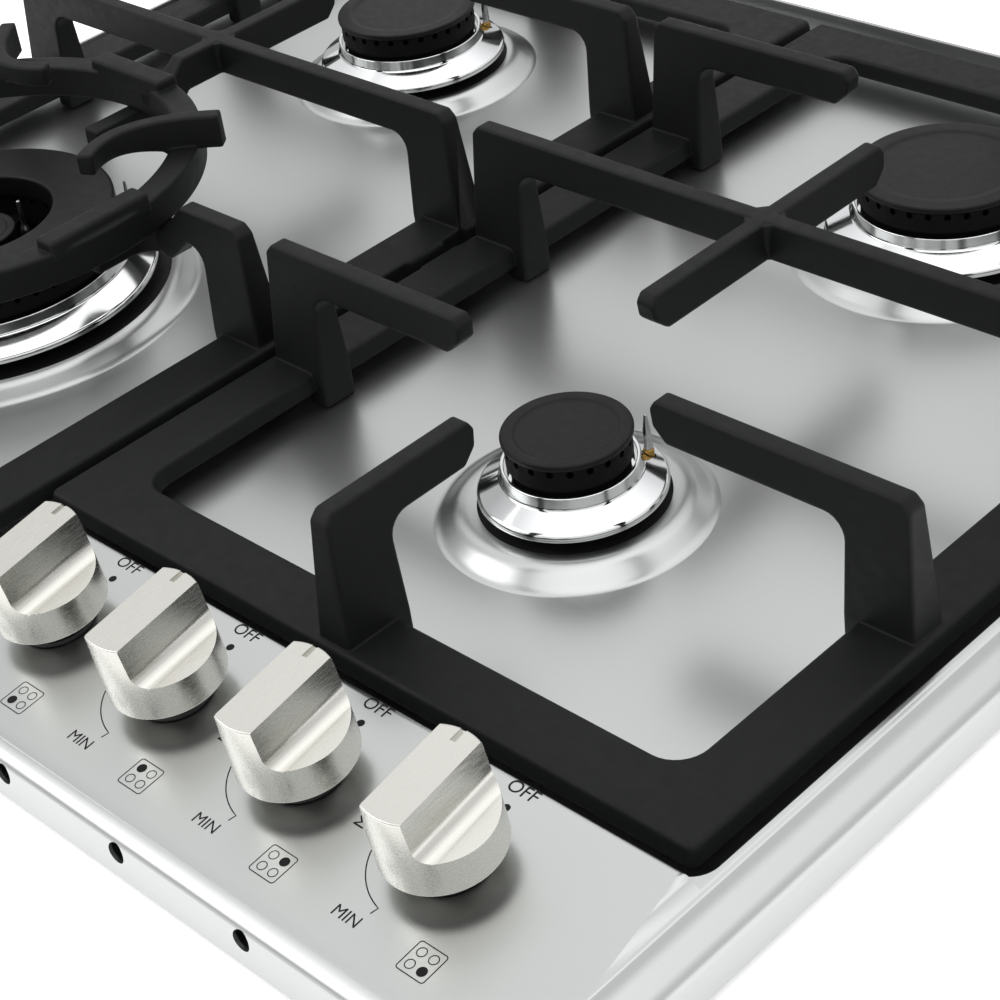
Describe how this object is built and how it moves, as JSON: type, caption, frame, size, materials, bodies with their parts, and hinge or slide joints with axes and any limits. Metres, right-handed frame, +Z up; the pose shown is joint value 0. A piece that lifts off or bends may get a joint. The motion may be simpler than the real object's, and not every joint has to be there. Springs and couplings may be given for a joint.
{
  "type": "gas cooktop",
  "caption": "Built-in steel gas hob with cast pan supports, a wok ring, capped burners with spark igniters and turning push knobs on a raised control panel.",
  "frame": {"origin": "centre of the bounding box, on the underside of the bottom tray", "axes": "+X to the right along the front edge, +Y to the rear, +Z up"},
  "size_m": [0.58, 0.504, 0.1258],
  "materials": {
    "brushed_top": "brushed stainless steel",
    "galvanised": "galvanised sheet steel",
    "steel_parts": "turned steel",
    "satin_nickel": "satin nickel plating",
    "chrome": "polished chrome",
    "brass": "turned brass",
    "aluminium": "cast and drawn aluminium",
    "cast_iron": "matte black enamelled cast iron",
    "black_enamel": "satin black enamel",
    "black_plastic": "fine-grained moulded plastic",
    "gasket": "foam rubber",
    "igniter": "glazed ceramic with a steel tip"
  },
  "bodies": {
    "cooktop": {"top_plate": "brushed_top", "bottom_tray": "galvanised", "worktop_gasket": "gasket", "clamp_front_right": "galvanised", "clamp_front_left": "galvanised", "clamp_rear_right": "galvanised", "clamp_rear_left": "galvanised", "gas_rail": "galvanised", "gas_inlet": "brass", "tap_body_front_left": "brass", "knob_bezel_front_left": "black_plastic", "supply_pipe_front_left": "aluminium", "tap_body_rear_left": "brass", "knob_bezel_rear_left": "black_plastic", "supply_pipe_rear_left": "aluminium", "tap_body_rear_right": "brass", "knob_bezel_rear_right": "black_plastic", "supply_pipe_rear_right": "aluminium", "tap_body_front_right": "brass", "knob_bezel_front_right": "black_plastic", "supply_pipe_front_right": "aluminium", "burner_cup_front_right": "aluminium", "trim_ring_front_right": "chrome", "igniter_front_right": "igniter", "burner_cup_rear_right": "aluminium", "trim_ring_rear_right": "chrome", "igniter_rear_right": "igniter", "burner_cup_rear_left": "aluminium", "trim_ring_rear_left": "chrome", "igniter_rear_left": "igniter", "burner_cup_front_left": "aluminium", "trim_ring_front_left": "chrome", "igniter_front_left": "igniter", "ignition_module": "black_plastic", "terminal_box": "black_plastic"},
    "tap_plug_front_left": {"tap_plug_front_left": "brass"},
    "knob_front_left": {"knob_front_left": "satin_nickel", "control_stem_front_left": "steel_parts"},
    "tap_plug_rear_left": {"tap_plug_rear_left": "brass"},
    "knob_rear_left": {"knob_rear_left": "satin_nickel", "control_stem_rear_left": "steel_parts"},
    "tap_plug_rear_right": {"tap_plug_rear_right": "brass"},
    "knob_rear_right": {"knob_rear_right": "satin_nickel", "control_stem_rear_right": "steel_parts"},
    "tap_plug_front_right": {"tap_plug_front_right": "brass"},
    "knob_front_right": {"knob_front_right": "satin_nickel", "control_stem_front_right": "steel_parts"},
    "burner_head_front_right": {"burner_head_front_right": "black_enamel"},
    "burner_cap_front_right": {"burner_cap_front_right": "black_enamel"},
    "burner_head_rear_right": {"burner_head_rear_right": "black_enamel"},
    "burner_cap_rear_right": {"burner_cap_rear_right": "black_enamel"},
    "burner_head_rear_left": {"burner_head_rear_left": "black_enamel"},
    "burner_cap_rear_left": {"burner_cap_rear_left": "black_enamel"},
    "burner_head_front_left": {"burner_head_front_left": "black_enamel"},
    "burner_cap_front_left_outer": {"burner_cap_front_left_outer": "black_enamel"},
    "burner_cap_front_left_inner": {"burner_cap_front_left_inner": "black_enamel"},
    "grate_right": {"grate_right": "cast_iron"},
    "grate_left": {"grate_left": "cast_iron"},
    "wok_ring": {"wok_ring": "cast_iron"}
  },
  "joints": [
    {"name": "knob_turn_front_left", "type": "hinge", "parent": "cooktop", "child": "tap_plug_front_left", "pos_m": [0.058, -0.2066, 0.06863], "axis": [0, -0.1093, 0.994], "range_deg": [-4, 164]},
    {"name": "knob_press_front_left", "type": "slide", "parent": "tap_plug_front_left", "child": "knob_front_left", "axis": [0, -0.1093, 0.994], "range_m": [-0.0035, 0], "stiffness_N_per_m": 800, "springref_m": 0.004},
    {"name": "knob_turn_rear_left", "type": "hinge", "parent": "cooktop", "child": "tap_plug_rear_left", "pos_m": [0.1128, -0.2066, 0.06863], "axis": [0, -0.1093, 0.994], "range_deg": [-4, 164]},
    {"name": "knob_press_rear_left", "type": "slide", "parent": "tap_plug_rear_left", "child": "knob_rear_left", "axis": [0, -0.1093, 0.994], "range_m": [-0.0035, 0], "stiffness_N_per_m": 800, "springref_m": 0.004},
    {"name": "knob_turn_rear_right", "type": "hinge", "parent": "cooktop", "child": "tap_plug_rear_right", "pos_m": [0.1676, -0.2066, 0.06863], "axis": [0, -0.1093, 0.994], "range_deg": [-4, 164]},
    {"name": "knob_press_rear_right", "type": "slide", "parent": "tap_plug_rear_right", "child": "knob_rear_right", "axis": [0, -0.1093, 0.994], "range_m": [-0.0035, 0], "stiffness_N_per_m": 800, "springref_m": 0.004},
    {"name": "knob_turn_front_right", "type": "hinge", "parent": "cooktop", "child": "tap_plug_front_right", "pos_m": [0.2224, -0.2066, 0.06863], "axis": [0, -0.1093, 0.994], "range_deg": [-4, 164]},
    {"name": "knob_press_front_right", "type": "slide", "parent": "tap_plug_front_right", "child": "knob_front_right", "axis": [0, -0.1093, 0.994], "range_m": [-0.0035, 0], "stiffness_N_per_m": 800, "springref_m": 0.004},
    {"name": "burner_head_lift_front_right", "type": "slide", "parent": "cooktop", "child": "burner_head_front_right", "axis": [0, 0, 1], "range_m": [0, 0.05]},
    {"name": "burner_cap_lift_front_right", "type": "slide", "parent": "burner_head_front_right", "child": "burner_cap_front_right", "axis": [0, 0, 1], "range_m": [0, 0.04]},
    {"name": "burner_head_lift_rear_right", "type": "slide", "parent": "cooktop", "child": "burner_head_rear_right", "axis": [0, 0, 1], "range_m": [0, 0.05]},
    {"name": "burner_cap_lift_rear_right", "type": "slide", "parent": "burner_head_rear_right", "child": "burner_cap_rear_right", "axis": [0, 0, 1], "range_m": [0, 0.04]},
    {"name": "burner_head_lift_rear_left", "type": "slide", "parent": "cooktop", "child": "burner_head_rear_left", "axis": [0, 0, 1], "range_m": [0, 0.05]},
    {"name": "burner_cap_lift_rear_left", "type": "slide", "parent": "burner_head_rear_left", "child": "burner_cap_rear_left", "axis": [0, 0, 1], "range_m": [0, 0.04]},
    {"name": "burner_head_lift_front_left", "type": "slide", "parent": "cooktop", "child": "burner_head_front_left", "axis": [0, 0, 1], "range_m": [0, 0.05]},
    {"name": "burner_cap_lift_front_left_outer", "type": "slide", "parent": "burner_head_front_left", "child": "burner_cap_front_left_outer", "axis": [0, 0, 1], "range_m": [0, 0.04]},
    {"name": "burner_cap_lift_front_left_inner", "type": "slide", "parent": "burner_head_front_left", "child": "burner_cap_front_left_inner", "axis": [0, 0, 1], "range_m": [0, 0.04]},
    {"name": "grate_lift_right", "type": "slide", "parent": "cooktop", "child": "grate_right", "axis": [0, 0, 1], "range_m": [0, 0.08]},
    {"name": "grate_lift_left", "type": "slide", "parent": "cooktop", "child": "grate_left", "axis": [0, 0, 1], "range_m": [0, 0.08]},
    {"name": "wok_ring_lift", "type": "slide", "parent": "grate_left", "child": "wok_ring", "axis": [0, 0, 1], "range_m": [0, 0.06]}
  ]
}
